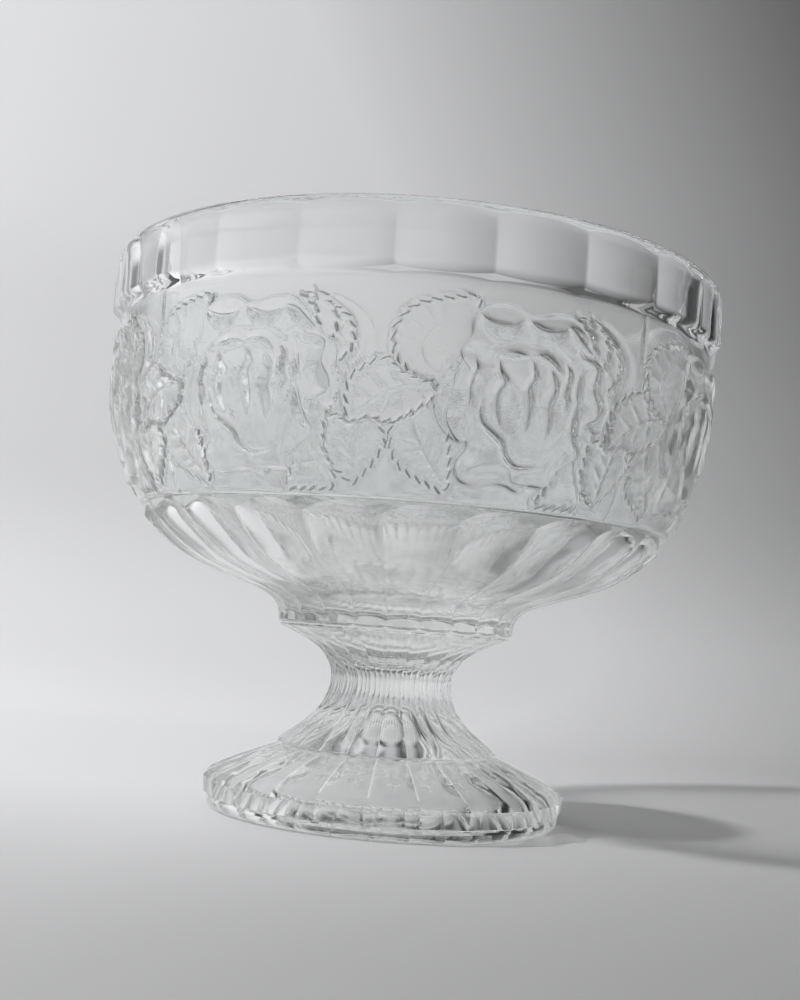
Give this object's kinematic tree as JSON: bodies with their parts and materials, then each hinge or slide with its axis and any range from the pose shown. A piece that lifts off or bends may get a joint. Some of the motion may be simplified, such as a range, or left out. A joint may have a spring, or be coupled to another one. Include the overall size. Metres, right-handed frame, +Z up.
{
  "type": "footed glass bowl",
  "caption": "Round bowl of clear pressed glass with a fluted rim band, a frieze of roses and leaves, and a hollow fluted foot.",
  "frame": {"origin": "middle of the foot's base, on the table", "axes": "+Z up along the bowl's axis, -Y towards the front, where one sprig of leaves is centred"},
  "size_m": [0.19, 0.19, 0.1638],
  "materials": {
    "bowl_glass": "clear pressed soda-lime glass, fire-polished, with satin carving",
    "foot_glass": "clear pressed soda-lime glass, fire-polished",
    "bond": "clear cured bond, smooth"
  },
  "bodies": {
    "root": {"foot": "foot_glass", "bond_film": "bond", "bowl": "bowl_glass"}
  },
  "joints": []
}
